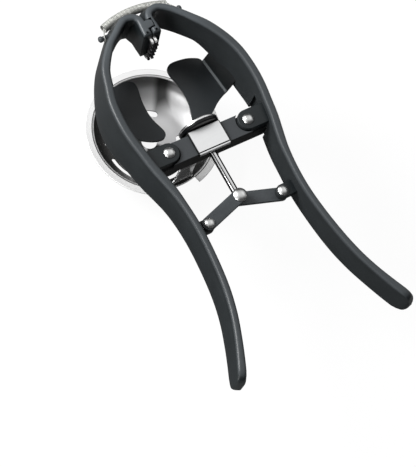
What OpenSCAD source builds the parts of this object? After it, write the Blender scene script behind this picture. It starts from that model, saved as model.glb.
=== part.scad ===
// Hand-held egg cracker: two arms pivoted on a crossbar, toggle links, push rod,
// front return spring and a hanging egg separator.
// Millimetres, Z up, Y towards the jaws, origin in the middle of the crossbar's underside.

/* [Arms] */
// Outer half width of the loop at its widest
loop_half_w = 42.3; // [38:0.1:46]
// From the pivot line to the front of the loop
loop_len = 78.4; // [72:0.1:86]
// Outer half width at the waist behind the crossbar
waist_half_w = 33.5; // [32:0.1:37]
// Outer half spread of the handle ends
tip_half_w = 54.6; // [46:0.1:62]
// From the pivot line to the handle ends
handle_len = 123.5; // [105:0.5:140]
// Wall thickness of the noses
nose_wall = 4; // [3.4:0.1:5]
// Wall thickness at the ends of the noses
nose_end_wall = 5; // [4.4:0.1:5.4]
// Lean of the noses' end faces, back from the lower edge
nose_slope = 2.4; // [0:0.1:3]
// Wall thickness at the side of the loop
loop_wall = 5; // [4:0.1:6]
// Wall thickness of the handles
handle_wall = 4.2; // [3.4:0.1:5.2]
// Height of the top lip above the crossbar's underside
arm_top = 18; // [16:0.1:21]
// Depth of the loop wall below the crossbar's underside at its deepest
loop_drop = 11; // [9:0.1:13]
// Depth of the noses below the crossbar's underside
nose_drop = 3.2; // [2:0.1:4]
// Depth of the arms beside the crossbar and along the handles
waist_drop = 6; // [5:0.1:7]
// Height of the rounded top lip
lip_h = 2; // [1:0.1:3]
// Half the gap between the closed noses
nose_half_gap = 0.3; // [0.2:0.05:0.8]
// From the front of the loop back to the ends of the noses
nose_len = 17.9; // [16:0.1:20]
// Length of the tab that laps from the left nose over the right one
tab_len = 4.8; // [4:0.1:6]
// Reach of the tab past the middle
tab_reach = 2.9; // [2:0.1:3.4]
// Thickness of the tab
tab_t = 2.4; // [2:0.1:3]
// Clearance round the tab in the right nose
tab_gap = 0.4; // [0.3:0.05:0.6]

/* [Crossbar] */
// Half the distance between the two arm pivots
pivot_half = 24; // [22:0.1:26]
// Half length of the crossbar
bar_half_len = 33.4; // [32:0.1:33.8]
// Crossbar in front of the pivot line
bar_front = 5; // [4:0.1:7]
// Crossbar behind the pivot line
bar_back = 6.6; // [6:0.1:8]
// Height of the crossbar
bar_h = 12; // [11:0.1:13]
// Radius of the round arm lugs on the crossbar
lug_r = 5.6; // [5:0.1:6]
// Height of the lap step in the crossbar's ends
lap_z = 7.6; // [7:0.1:8.4]
// Height of the lug above the crossbar's top
lug_rise = 1.8; // [1:0.1:2.4]
// Sheet thickness of the guide saddle
saddle_t = 1.2; // [0.8:0.1:1.6]
// Half width of the guide saddle
saddle_half_w = 9.7; // [8:0.1:11]
// Depth of the recess in each arm for the end of the crossbar
recess_t = 1.8; // [1.4:0.1:2.2]
// Front of that recess, ahead of the pivot line
recess_front = 12.2; // [10:0.1:13]

/* [Pins and fits] */
// Radius of the pivot rivets
pivot_r = 2; // [1.6:0.1:2.4]
// Radius of the pivot rivet heads
pivot_head_r = 3.05; // [2.7:0.05:3.4]
// Radius of the link rivets
link_pin_r = 1.5; // [1.2:0.1:1.8]
// Radius of the link rivet heads
link_head_r = 3.05; // [2.6:0.05:3.3]
// Radius of the centre rivet
centre_pin_r = 1.7; // [1.4:0.1:1.9]
// Radius of the centre rivet head
centre_head_r = 3.8; // [3.4:0.1:4.2]
// Radial running clearance of pins and rod
run_clear = 0.05; // [0.02:0.01:0.09]
// Radial play of the links on the centre rivet
open_play = 0.75; // [0.65:0.05:0.9]
// Gap between parts that turn on each other
layer_gap = 0.3; // [0.2:0.05:0.5]

/* [Links and rod] */
// Half the distance between the outer link pins
link_half = 22.7; // [21:0.1:24]
// Outer link pins behind the pivot line
link_back = 42.1; // [40:0.1:44]
// Centre pin in front of the outer link pins
toggle_rise = 7.1; // [6:0.1:8]
// Half width of the links
link_half_w = 3.7; // [3.4:0.1:4.2]
// Thickness of the links
link_t = 2.2; // [1.8:0.1:2.4]
// Radius of the push rod
rod_r = 1.7; // [1.4:0.1:1.8]
// Height of the rod's axis
rod_z = 6.9; // [6.6:0.1:7.2]
// Radius of the pusher disc
disc_r = 11.3; // [10:0.1:12.5]
// Thickness of the pusher disc
disc_t = 3.3; // [2.8:0.1:4]

/* [Jaws and cradle] */
// How far the teeth stand out of the noses
tooth_reach = 3.1; // [2:0.1:4]
// How deep the blades are set into the noses
blade_root = 6; // [4:0.1:8]
// Lower end of the blades below the crossbar's underside
blade_drop = 5; // [3:0.1:6]
// Upper end of the blades below the top lip
blade_low = 4.5; // [3.5:0.1:6]
// Thickness of the blades
blade_t = 1.5; // [1:0.1:1.8]
// Number of teeth on a blade
tooth_count = 5; // [3:1:7]
// Sheet thickness of the cradle wings
wing_t = 1.8; // [1.4:0.1:2.2]
// Depth of the cradle wings below the crossbar's underside
wing_drop = 15.2; // [13:0.1:18]
// Lean of the wings' skirts
wing_lean = 20; // [14:1:24]

/* [Spring] */
// Mean radius of the spring's curls
coil_r = 2.2; // [1.8:0.1:2.3]
// Wire thickness of the spring
wire_d = 0.6; // [0.4:0.05:0.6]
// Number of curls
curls = 35; // [20:1:35]
// Half length of the wound part
coil_half = 19; // [18.5:0.1:19.5]
// Height of the spring
spring_z = 6.4; // [4:0.1:8]
// Radius of the spring peg necks
peg_r = 1.3; // [1:0.1:1.5]
// Radius of the spring peg heads
peg_head_r = 1.7; // [1.6:0.1:2.2]
// Length of the spring pegs outside the wall
peg_len = 8; // [7:0.1:9]

/* [Separator] */
// Centre of the separator in front of the pivot line
sep_y = 35.7; // [35.4:0.1:36]
// Depth of the rim below the crossbar's underside
sep_drop = 51.8; // [44:0.1:56]
// Outer radius of the rim
rim_r = 38.6; // [36:0.1:41]
// Inner radius of the rim
mouth_r = 33.4; // [33.2:0.1:33.7]
// Depth of the bowl
bowl_depth = 14; // [11:0.1:17]
// Sheet thickness of the separator
sep_t = 0.9; // [0.7:0.05:1.1]
// Half width of the hanger strap
hanger_half_w = 5.2; // [4.4:0.1:6]
// Half width of the strap's foot at the rim
hanger_foot = 7; // [6.8:0.1:7.2]
// Thickness of the hanger strap
hanger_t = 1; // [0.8:0.1:1.1]
// How far the strap reaches into the crossbar
hanger_grip = 3.4; // [2.6:0.1:3.6]
// Clearance of the strap in its slot
hanger_fit = 0.1; // [0.05:0.05:0.2]

/* [Hidden] */
$fn = 48;

steel = [0.78, 0.79, 0.80];
slate = [0.22, 0.24, 0.26];
black = [0.11, 0.115, 0.12];

lug_z0 = lap_z + layer_gap;
lug_z1 = bar_h + lug_rise;
centre_y = toggle_rise - link_back;
link_len = sqrt(link_half * link_half + toggle_rise * toggle_rise);
link_angle = atan2(toggle_rise, link_half);
eye_t = link_t;
eye_z0 = rod_z - eye_t / 2;
upper_z0 = eye_z0 + eye_t + layer_gap;
lower_z0 = eye_z0 - layer_gap - link_t;
link_lug_t = 4;
disc_y = bar_front + saddle_t + 0.6;
nose_y = loop_len - nose_len;
tooth_y = nose_y - tooth_reach;
blade_x = nose_half_gap + 0.05 + blade_t / 2;
blade_gap = 0.03;
blade_z1 = arm_top - blade_low;
tab_y = nose_y + blade_root - 0.2;
tab_z = arm_top - 0.8 - tab_t;
hanger_y = sep_y - sqrt(mouth_r * mouth_r - hanger_foot * hanger_foot) - 0.05;

// Outside line of the right arm's wall, from the nose round the loop to the handle end,
// each point with the wall thickness there.
function loop_pt(fx, fy, t) = [fx * loop_half_w, fy * loop_len, t];
function neck_pt(f, y, t) = [waist_half_w + f * (loop_half_w - waist_half_w), y, t];
function grip_pt(f, fy, t) = [waist_half_w + f * (tip_half_w - waist_half_w), -fy * handle_len, t];
arm_line = [
    [nose_half_gap, nose_y, nose_end_wall],
    [nose_half_gap, loop_len - 12.4, nose_end_wall],
    [nose_half_gap, loop_len - 7.9, (2 * nose_end_wall + nose_wall) / 3],
    [nose_half_gap + 0.8, loop_len - 4.2, (nose_end_wall + 2 * nose_wall) / 3],
    [nose_half_gap + 3.1, loop_len - 1.5, nose_wall],
    [nose_half_gap + 6.4, loop_len - 0.2, nose_wall],
    loop_pt(0.255, 0.998, nose_wall),
    loop_pt(0.388, 0.957, nose_wall),
    loop_pt(0.508, 0.894, nose_wall),
    loop_pt(0.624, 0.825, (nose_wall + loop_wall) / 2),
    loop_pt(0.738, 0.753, loop_wall),
    loop_pt(0.835, 0.667, loop_wall),
    loop_pt(0.918, 0.569, loop_wall),
    loop_pt(0.973, 0.466, loop_wall),
    loop_pt(0.996, 0.357, loop_wall),
    loop_pt(1.000, 0.253, loop_wall),
    loop_pt(0.986, 0.152, loop_wall),
    loop_pt(0.959, 0.055, loop_wall),
    neck_pt(0.648, -4.8, loop_wall),
    neck_pt(0.364, -15.6, loop_wall),
    neck_pt(0.190, -22.5, (loop_wall + handle_wall) / 2),
    neck_pt(0.080, -29.5, handle_wall),
    neck_pt(0.018, -36.8, handle_wall),
    grip_pt(0.000, 0.358, handle_wall),
    grip_pt(0.014, 0.418, handle_wall),
    grip_pt(0.051, 0.481, handle_wall),
    grip_pt(0.101, 0.544, handle_wall),
    grip_pt(0.165, 0.609, handle_wall),
    grip_pt(0.245, 0.674, handle_wall),
    grip_pt(0.350, 0.742, handle_wall),
    grip_pt(0.489, 0.811, handle_wall),
    grip_pt(0.670, 0.884, handle_wall + 0.3),
    grip_pt(0.865, 0.955, handle_wall + 0.6),
    grip_pt(1.000, 1.000, handle_wall + 0.6)
];

// Smooth curve through a list of points.
function near(v, i) = v[max(0, min(len(v) - 1, i))];
function curve_at(v, i, u) =
    0.5 * (2 * v[i] + (near(v, i + 1) - near(v, i - 1)) * u
    + (2 * near(v, i - 1) - 5 * v[i] + 4 * near(v, i + 1) - near(v, i + 2)) * u * u
    + (3 * v[i] - near(v, i - 1) - 3 * near(v, i + 1) + near(v, i + 2)) * u * u * u);
function smooth(v, n) = concat([for (i = [0:len(v) - 2]) for (k = [0:n - 1]) curve_at(v, i, k / n)],
                               [v[len(v) - 1]]);
function reversed(v) = [for (i = [len(v) - 1:-1:0]) v[i]];
function unit(v) = v / norm(v);
function heading(v, i) = unit([near(v, i + 1).x - near(v, i - 1).x, near(v, i + 1).y - near(v, i - 1).y]);
function inward(v, i) = [heading(v, i).y, -heading(v, i).x];

arm_curve = smooth(arm_line, 2);
function shifted(s, k) = [for (i = [0:len(arm_curve) - 1])
    [arm_curve[i].x, arm_curve[i].y] + inward(arm_curve, i) * (s + k * arm_curve[i].z)];
function wall_outline(inset) = concat(shifted(inset, 0), reversed(shifted(-inset, 1)));

// Spring peg: foot on the arm's outer wall, standing out sideways.
peg_z = spring_z + 2;
peg_on = curve_at(arm_line, 7, 0.2);
peg_foot = [peg_on.x, peg_on.y, peg_z];
hook_r = peg_r + 0.4 + wire_d / 2;
hook_c = peg_foot + [peg_len - 3.2, 0, 0];

// Spring: wound along a shallow arc across the front, with a hook at each end.
coil_front = loop_len + 4.9;
arc_r = 66;
arc_y = coil_front - arc_r;
arc_a = asin(coil_half / arc_r);
steps = 8;
rings = curls * steps;
function coil_pt(i) = let (s = -arc_a + 2 * arc_a * i / rings, a = 90 + 360 * i / steps,
    u = [sin(s), cos(s), 0])
    [0, arc_y, spring_z] + u * (arc_r + coil_r * cos(a)) + [0, 0, coil_r * sin(a)];
function hook_pt(a) = hook_c + hook_r * [0, -sin(a), cos(a)];
function flip(p) = [-p.x, p.y, p.z];
hook_end = [for (k = [6:-1:0]) hook_pt(k * 30)];
wire_line = concat([for (p = hook_end) flip(p)],
                   [(flip(hook_end[6]) + coil_pt(0)) / 2],
                   [for (i = [0:rings]) coil_pt(i)],
                   [(hook_end[6] + coil_pt(rings)) / 2],
                   reversed(hook_end));
wire_n = len(wire_line);
function way(i) = unit(near(wire_line, i + 1) - near(wire_line, i - 1));
function carried(n, t) = unit(n - t * (n * t));
wire_side = [for (i = 0, n = carried([1, 0.3, 0.2], way(0)); i < wire_n;
    i = i + 1, n = carried(n, way(min(i, wire_n - 1)))) n];
wire_pts = [for (i = [0:wire_n - 1]) for (k = [0:5])
    wire_line[i] + wire_d / 2 * (wire_side[i] * cos(60 * k) + cross(way(i), wire_side[i]) * sin(60 * k))];
wire_faces = concat(
    [[5, 4, 3, 2, 1, 0]],
    [for (i = [0:wire_n - 2]) for (k = [0:5])
        [6 * i + k, 6 * i + (k + 1) % 6, 6 * i + 6 + (k + 1) % 6]],
    [for (i = [0:wire_n - 2]) for (k = [0:5])
        [6 * i + k, 6 * i + 6 + (k + 1) % 6, 6 * i + 6 + k]],
    [[for (k = [0:5]) 6 * (wire_n - 1) + k]]);
least_gap = min([for (i = [0:wire_n - 6]) for (j = [i + 5:min(wire_n - 1, i + 40)])
    norm(wire_line[i] - wire_line[j])]) - wire_d;
echo(spring_least_gap = least_gap);

// Plan line of the right cradle wing's inner edge, front to back.
sx = loop_half_w / 42.3;
sy = loop_len / 78.4;
wing_edge = [for (p = [
    [31.1, 49.9], [29.4, 52.2], [24.5, 54.4], [20, 55.3], [15.2, 55.6], [12.2, 54.9], [10.4, 53.1],
    [10, 50.2], [10.5, 47.2], [11.4, 43], [11.9, 38], [11.9, 33.5], [11.1, 28.5], [9.4, 23.5],
    [8.9, 20.6], [9.8, 18.4], [12.4, 17.4], [17, 18.4], [22, 21.1], [26.5, 24.4], [30.4, 26.6],
    [33.7, 28]]) [p.x * sx, p.y * sy]];
crease_front = wing_edge[0];
crease_back = wing_edge[len(wing_edge) - 1];
crease_way = unit(crease_front - crease_back);
crease_out = [crease_way.y, -crease_way.x];

// Side view of the underside of an arm's wall, front to back.
underside = smooth([[90 * sy, -nose_drop - 1.8], [78 * sy, -nose_drop - 1.8], [72 * sy, -nose_drop - 1.2],
    [66 * sy, -nose_drop], [61 * sy, -nose_drop + 0.8], [56 * sy, -nose_drop - 0.6],
    [50 * sy, -waist_drop - 0.2], [42 * sy, -loop_drop + 2.4], [34 * sy, -loop_drop + 0.6],
    [28 * sy, -loop_drop], [21 * sy, -loop_drop + 1.1], [15.5, -waist_drop - 2.3], [10, -waist_drop - 0.8],
    [4, -waist_drop], [-8, -waist_drop + 1.6], [-20, -waist_drop + 3.2], [-36, -waist_drop + 4.2],
    [-70, -waist_drop + 5.2], [-100, -waist_drop + 6], [-handle_len + 8, -waist_drop + 6.6],
    [-handle_len + 3, -waist_drop + 8], [-handle_len - 0.5, -waist_drop + 10.5],
    [-handle_len - 9, -waist_drop + 20]], 2);

module dome(r, h) {
    big = (r * r + h * h) / (2 * h);
    intersection() {
        translate([0, 0, h - big]) sphere(r = big, $fn = 64);
        cylinder(r = r + 1, h = h);
    }
}

// Rivet with a domed head on top and a flat tail below.
module rivet(r, z0, z1, head_r, head_h, tail_r, tail_h) {
    translate([0, 0, z0 - tail_h]) cylinder(r = tail_r, h = tail_h);
    translate([0, 0, z0 - 0.01]) cylinder(r = r, h = z1 - z0 + 0.02);
    translate([0, 0, z1]) cylinder(r = head_r, h = 0.5);
    translate([0, 0, z1 + 0.5]) dome(head_r, head_h - 0.5);
}

module crossbar() {
    color(black) difference() {
        translate([-bar_half_len, -bar_back, 0]) cube([2 * bar_half_len, bar_back + bar_front, bar_h]);
        for (s = [-1, 1]) {
            translate([s * pivot_half, 0, lap_z]) cylinder(r = lug_r + 0.8, h = bar_h);
            translate([s * (pivot_half + 20) - 20, -20, lap_z]) cube([40, 40, bar_h]);
            translate([s * pivot_half, 0, -1]) cylinder(r = pivot_r + run_clear, h = bar_h);
            translate([s * pivot_half, 0, -1]) cylinder(r = 3.4, h = 2.6);
        }
        translate([0, -bar_back - 1, rod_z]) rotate([-90, 0, 0])
            cylinder(r = rod_r + run_clear, h = bar_back + bar_front + 2);
        translate([-hanger_half_w - 2 * hanger_fit, hanger_y - hanger_fit, -1])
            cube([2 * hanger_half_w + 4 * hanger_fit, hanger_t + 2 * hanger_fit, hanger_grip + 1.3]);
    }
}

module guide_saddle() {
    leg_z = rod_z + rod_r + 0.4;
    color(steel) difference() {
        translate([-saddle_half_w, -bar_back - saddle_t, 4])
            cube([2 * saddle_half_w, bar_back + bar_front + 2 * saddle_t, bar_h + saddle_t - 4]);
        translate([-saddle_half_w - 1, -bar_back, 0])
            cube([2 * saddle_half_w + 2, bar_back + bar_front, bar_h]);
        translate([-saddle_half_w - 1, -bar_back - saddle_t - 1, 0])
            cube([2 * saddle_half_w + 2, saddle_t + 2, bar_h - 0.8]);
        translate([-2.6, bar_front - 1, 0]) cube([5.2, saddle_t + 2, leg_z]);
    }
}

module pivot_rivet() {
    rivet(pivot_r, 1.4, lug_z1 + 0.05, pivot_head_r, 1.8, 3.1, 1.1);
}
module left_pivot_rivet() { color(steel) translate([-pivot_half, 0, 0]) pivot_rivet(); }
module right_pivot_rivet() { color(steel) translate([pivot_half, 0, 0]) pivot_rivet(); }

// Right-hand wall of an arm, before its lugs and holes.
module arm_wall() {
    difference() {
        union() {
            translate([0, 0, -loop_drop]) linear_extrude(height = arm_top + loop_drop - lip_h)
                polygon(wall_outline(0));
            translate([0, 0, arm_top - lip_h]) linear_extrude(height = lip_h * 0.55)
                polygon(wall_outline(0.4));
            translate([0, 0, arm_top - lip_h * 0.45]) linear_extrude(height = lip_h * 0.45)
                polygon(wall_outline(1.1));
        }
        // The underside dips at the loop and rises along the handle, and the handle's end is rounded.
        translate([-1, 0, 0]) rotate([90, 0, 90]) linear_extrude(height = 90)
            polygon(concat([[-handle_len - 9, -loop_drop - 5], [90 * sy, -loop_drop - 5]], underside));
        translate([10, 0, 0]) rotate([90, 0, 90]) linear_extrude(height = 80)
            polygon([[-handle_len + 12, arm_top + 1], [-handle_len + 9, arm_top],
                     [-handle_len + 3, arm_top - 1.4], [-handle_len - 0.5, arm_top - 4],
                     [-handle_len - 4, arm_top - 10], [-handle_len - 9, arm_top - 10],
                     [-handle_len - 9, arm_top + 1]]);
        // The end of the nose leans back towards the top.
        translate([-1, 0, 0]) rotate([90, 0, 90]) linear_extrude(height = 10)
            polygon([[nose_y - 2, -loop_drop], [nose_y, -loop_drop], [nose_y, -nose_drop],
                     [nose_y + nose_slope, arm_top], [nose_y + nose_slope, arm_top + 1],
                     [nose_y - 2, arm_top + 1]]);
        // Recess for the end of the crossbar.
        intersection() {
            translate([0, 0, -loop_drop - 1]) linear_extrude(height = loop_drop + 1 + lug_z0)
                polygon(concat(shifted(-recess_t, 1), reversed(shifted(1, 1))));
            translate([0, -bar_back - 2.4, -loop_drop - 1])
                cube([60, bar_back + 2.4 + recess_front, loop_drop + 40]);
        }
    }
}

// Right-hand arm with its pivot lug and its link lug between two heights.
module arm(z0, z1) {
    difference() {
        union() {
            arm_wall();
            translate([pivot_half, 0, lug_z0]) cylinder(r = lug_r, h = lug_z1 - lug_z0);
            translate([pivot_half, -lug_r, lug_z0])
                cube([loop_half_w - pivot_half - 4.4, 2 * lug_r, lug_z1 - lug_z0]);
            translate([link_half, -link_back, z0]) cylinder(r = link_half_w, h = z1 - z0);
            translate([link_half, -link_back - link_half_w, z0])
                cube([waist_half_w - link_half - 1.6, 2 * link_half_w, z1 - z0]);
        }
        translate([pivot_half, 0, -20]) cylinder(r = pivot_r + run_clear, h = 60);
        translate([link_half, -link_back, -20]) cylinder(r = link_pin_r + run_clear, h = 60);
        translate([-1, nose_y - 1, -loop_drop - 1])
            cube([1 + blade_x + blade_t / 2 + blade_gap, 1 + blade_root + blade_gap,
                  loop_drop + 1 + blade_z1 + blade_gap]);
        translate(peg_foot - [2.5, 0, 0]) rotate([0, 90, 0]) cylinder(r = peg_r + 0.02, h = 5);
    }
}

module left_arm() {
    color(slate) mirror([1, 0, 0]) union() {
        arm(eye_z0 + eye_t - link_lug_t, eye_z0 + eye_t);
        // Tab on the nose that laps over the other nose when the jaws are closed.
        translate([-tab_reach, tab_y, tab_z])
            cube([tab_reach + nose_half_gap + nose_wall / 2, tab_len, tab_t]);
    }
}
module right_arm() {
    color(slate) difference() {
        arm(lower_z0 + link_t + layer_gap, lower_z0 + link_t + layer_gap + link_lug_t);
        translate([-1, tab_y - tab_gap, tab_z - tab_gap])
            cube([1 + tab_reach + tab_gap, tab_len + 2 * tab_gap, arm_top]);
    }
}

// Serrated blade set into the end of a nose.
module tooth_blade() {
    z0 = -blade_drop;
    z1 = blade_z1;
    pitch = (z1 - z0) / tooth_count;
    edge = [for (i = [0:tooth_count - 1]) for (k = [0, 1])
        [k == 0 ? nose_y - 0.3 : tooth_y, z0 + pitch * (i + k * 0.5)]];
    translate([blade_x - blade_t / 2, 0, 0]) rotate([90, 0, 90]) linear_extrude(height = blade_t)
        polygon(concat([[nose_y + blade_root, z0]], edge, [[nose_y - 0.3, z1], [nose_y + blade_root, z1]]));
}
module left_tooth_blade() { color(steel) mirror([1, 0, 0]) tooth_blade(); }
module right_tooth_blade() { color(steel) tooth_blade(); }

// Bent-in wing that carries one side of the egg.
module cradle_wing() {
    z0 = -wing_drop - wing_t;
    translate([0, 0, z0]) linear_extrude(height = wing_t)
        polygon(concat(smooth(wing_edge, 3), [crease_back + crease_out, crease_front + crease_out]));
    difference() {
        translate([crease_back.x, crease_back.y, z0])
            rotate([0, 0, atan2(crease_way.y, crease_way.x)]) rotate([wing_lean, 0, 0])
            translate([0, -wing_t, -2]) cube([norm(crease_front - crease_back), wing_t, wing_drop]);
        translate([0, 0, z0 - 10]) cube([60, 60, 10]);
        arm_wall();
    }
}
module left_cradle_wing() { color(black) mirror([1, 0, 0]) cradle_wing(); }
module right_cradle_wing() { color(black) cradle_wing(); }

module spring_peg() {
    translate(peg_foot) rotate([0, 90, 0]) {
        translate([0, 0, -2.4]) cylinder(r = peg_r, h = 2.4 + peg_len - 1.4);
        translate([0, 0, peg_len - 2]) cylinder(r = peg_head_r, h = 0.8);
        translate([0, 0, peg_len - 1.2]) dome(peg_head_r, 1.2);
    }
}
module left_spring_peg() { color(steel) mirror([1, 0, 0]) spring_peg(); }
module right_spring_peg() { color(steel) spring_peg(); }

// Flat link from its outer pin at the origin to the centre pin along X.
module link() {
    difference() {
        union() {
            cylinder(r = link_half_w, h = link_t);
            translate([link_len, 0, 0]) cylinder(r = link_half_w, h = link_t);
            translate([0, -link_half_w + 0.3, 0]) cube([link_len, 2 * link_half_w - 0.6, link_t]);
        }
        translate([0, 0, -1]) cylinder(r = link_pin_r + run_clear, h = link_t + 2);
        translate([link_len, 0, -1]) cylinder(r = centre_pin_r + open_play, h = link_t + 2);
    }
}
module left_link() {
    color(black) translate([-link_half, -link_back, upper_z0]) rotate([0, 0, link_angle]) link();
}
module right_link() {
    color(black) translate([link_half, -link_back, lower_z0]) rotate([0, 0, 180 - link_angle]) link();
}
module left_link_rivet() {
    color(steel) translate([-link_half, -link_back, 0])
        rivet(link_pin_r, eye_z0 + eye_t - link_lug_t - 0.05, upper_z0 + link_t + 0.05,
              link_head_r, 1.8, 2.5, 1.2);
}
module right_link_rivet() {
    color(steel) translate([link_half, -link_back, 0])
        rivet(link_pin_r, lower_z0 - 0.05, lower_z0 + link_t + layer_gap + link_lug_t + 0.05,
              link_head_r, 1.8, 2.5, 1.2);
}

// Rod with a flat eye behind and its tip in the pusher disc.
module push_rod() {
    neck_y = centre_y + link_half_w + 1;
    color(steel) difference() {
        union() {
            translate([0, centre_y, eye_z0]) cylinder(r = link_half_w, h = eye_t);
            translate([-rod_r, centre_y, eye_z0]) cube([2 * rod_r, neck_y - centre_y + 0.5, eye_t]);
            translate([0, neck_y, rod_z]) rotate([-90, 0, 0]) cylinder(r = rod_r, h = disc_y + 1.2 - neck_y);
        }
        translate([0, centre_y, -20]) cylinder(r = centre_pin_r + 0.02, h = 60);
    }
}
module centre_rivet() {
    color(steel) translate([0, centre_y, 0])
        rivet(centre_pin_r, lower_z0 - 0.05, upper_z0 + link_t + 0.05, centre_head_r, 2.1, 3, 1.2);
}
// Dished disc on the rod's tip, hollow towards the egg.
module pusher_disc() {
    color(steel) translate([0, disc_y, rod_z]) rotate([-90, 0, 0]) difference() {
        rotate_extrude() polygon([[0, 0], [disc_r - 0.7, 0], [disc_r, 0.7], [disc_r, disc_t - 0.6],
            [disc_r - 0.5, disc_t], [disc_r - 1.4, disc_t], [disc_r / 2, disc_t - 1.1], [0, disc_t - 1.5]]);
        translate([0, 0, -1]) cylinder(r = rod_r + 0.02, h = 2.25);
    }
}

module front_spring() {
    color(steel) polyhedron(points = wire_pts, faces = wire_faces, convexity = 10);
}

// Half profile of the separator: the upper face, and the same line one sheet lower.
sep_line = [[rim_r, 0], [mouth_r + 0.7, 0], [mouth_r, -0.8], [mouth_r - 0.1, -3.4],
            [mouth_r - 2, -0.50 * bowl_depth], [mouth_r - 6, -0.78 * bowl_depth],
            [mouth_r - 11, -0.94 * bowl_depth], [mouth_r - 15.5, -bowl_depth], [0, -bowl_depth]];
sep_under = [for (i = [0:len(sep_line) - 1])
    let (d = unit(near(sep_line, i + 1) - near(sep_line, i - 1)))
    sep_line[i] + sep_t * (i == 0 || i == len(sep_line) - 1 ? [0, -1] : [-d.y, d.x])];
module separator_bowl() {
    floor_r = mouth_r - 15.5;
    color(steel) translate([0, sep_y, -sep_drop]) difference() {
        rotate_extrude($fn = 96) polygon(concat(sep_line, reversed(sep_under)));
        // Drain slots in the wall and in the floor.
        for (a = [146, 202, 270, 338]) rotate([0, 0, a - 17]) translate([0, 0, -bowl_depth - 4])
            rotate_extrude(angle = 34) translate([floor_r + 5.6, 0]) square([2.4, bowl_depth + 3]);
        for (a = [62, 152, 242, 332]) rotate([0, 0, a - 13]) translate([0, 0, -bowl_depth - 4])
            rotate_extrude(angle = 26) translate([floor_r - 2.2, 0]) square([3.6, bowl_depth]);
        translate([0, 0, -bowl_depth - 4]) cylinder(r = 4.5, h = 8);
        // Gap in the rim behind the hanger strap.
        back = hanger_y - sep_y;
        translate([0, 0, -2.6]) linear_extrude(height = 5)
            polygon([for (k = [[-1, back], [1, back], [1, -rim_r - 5], [-1, -rim_r - 5]])
                [k.x * k.y * tan(13.6), k.y]]);
    }
}
// Strap that widens to a foot at the rim.
module separator_hanger() {
    half = [[hanger_foot, -sep_drop - 3], [hanger_foot, -sep_drop + 1], [hanger_half_w + 0.7, -sep_drop + 4],
            [hanger_half_w, -sep_drop + 11], [hanger_half_w, hanger_grip]];
    color(steel) translate([0, hanger_y + hanger_t, 0]) rotate([90, 0, 0])
        linear_extrude(height = hanger_t) polygon(concat(half, [for (p = reversed(half)) [-p.x, p.y]]));
}

crossbar();
guide_saddle();
left_pivot_rivet();
right_pivot_rivet();
left_arm();
right_arm();
left_tooth_blade();
right_tooth_blade();
left_cradle_wing();
right_cradle_wing();
left_spring_peg();
right_spring_peg();
left_link();
right_link();
left_link_rivet();
right_link_rivet();
push_rod();
centre_rivet();
pusher_disc();
front_spring();
separator_bowl();
separator_hanger();
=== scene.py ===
"""Egg cracker, dressed for the shelf: cast arms, toggle links, spring and separator.

Everything is in metres in the shared frame: X across the tool, Y towards the jaws, Z up,
origin in the middle of the crossbar's underside. Shapes are typed in millimetres and scaled
by MM; finishes, floor and light are typed in metres.
"""

import math
from functools import partial

import bmesh
import bpy
from mathutils import Matrix, Vector


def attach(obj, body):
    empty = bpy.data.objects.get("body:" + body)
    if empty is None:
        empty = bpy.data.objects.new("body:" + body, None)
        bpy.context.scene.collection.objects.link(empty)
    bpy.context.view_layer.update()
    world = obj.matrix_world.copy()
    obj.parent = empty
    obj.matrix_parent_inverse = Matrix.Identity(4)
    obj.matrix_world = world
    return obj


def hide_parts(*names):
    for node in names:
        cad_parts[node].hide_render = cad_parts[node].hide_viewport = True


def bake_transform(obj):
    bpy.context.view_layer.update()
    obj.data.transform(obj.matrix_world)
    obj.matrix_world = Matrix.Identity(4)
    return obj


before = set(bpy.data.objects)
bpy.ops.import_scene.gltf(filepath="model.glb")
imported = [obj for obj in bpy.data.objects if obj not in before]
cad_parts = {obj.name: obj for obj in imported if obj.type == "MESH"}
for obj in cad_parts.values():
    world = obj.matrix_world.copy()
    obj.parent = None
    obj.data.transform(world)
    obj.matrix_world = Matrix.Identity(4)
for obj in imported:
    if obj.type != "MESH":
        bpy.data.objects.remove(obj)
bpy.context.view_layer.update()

MM = 0.001

# Places and sizes that several pieces share

SIDES = ((-1, "left"), (1, "right"))
BELOW, ABOVE = -20, 30
PIVOT_X, PIVOT_HOLE = 24, 2.05
PIN_X, PIN_Y, PIN_HOLE = 22.7, -42.1, 1.55
CENTRE_Y = -35
LINK_ROUND, LINK_THICK, LINK_EYE = 3.7, 2.2, 2.45
ROD_Z, ROD_R = 6.9, 1.95
BAR_HALF, BAR_BACK, BAR_FRONT, BAR_TOP = 33.4, -6.6, 5, 12
SADDLE_HALF, SADDLE_THICK, LIP_GROOVE_Y = 9.7, 1.2, -6.5
WING_FRONT, WING_BACK, WING_Z = (31.1, 49.9), (33.7, 28), -16.1
PEG_X, PEG_Y, PEG_Z = 17.45, 74.05, 8.4
SEP_Y, SEP_Z = 35.7, -51.8
STRAP_HALF, STRAP_Y, STRAP_THICK = 5.2, 3.01, 1.0

# Camera

camera_data = bpy.data.cameras.new("photo_camera")
camera_data.sensor_fit = "HORIZONTAL"
camera_data.sensor_width = 36
camera_data.lens = 159.35
camera_data.clip_start = 0.05
camera_data.clip_end = 20
camera = bpy.data.objects.new("photo_camera", camera_data)
bpy.context.scene.collection.objects.link(camera)
right = Vector((0.8526188, -0.47939737, 0.20789264))
down = Vector((-0.38663424, -0.84642629, -0.36616457))
ahead = Vector((0.35150413, 0.23182039, -0.90703041))
camera.matrix_world = Matrix((
    (right.x, -down.x, -ahead.x, -356.738 * MM),
    (right.y, -down.y, -ahead.y, -264.810 * MM),
    (right.z, -down.z, -ahead.z, 863.703 * MM),
    (0, 0, 0, 1)))
bpy.context.scene.camera = camera

# Workbench


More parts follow.
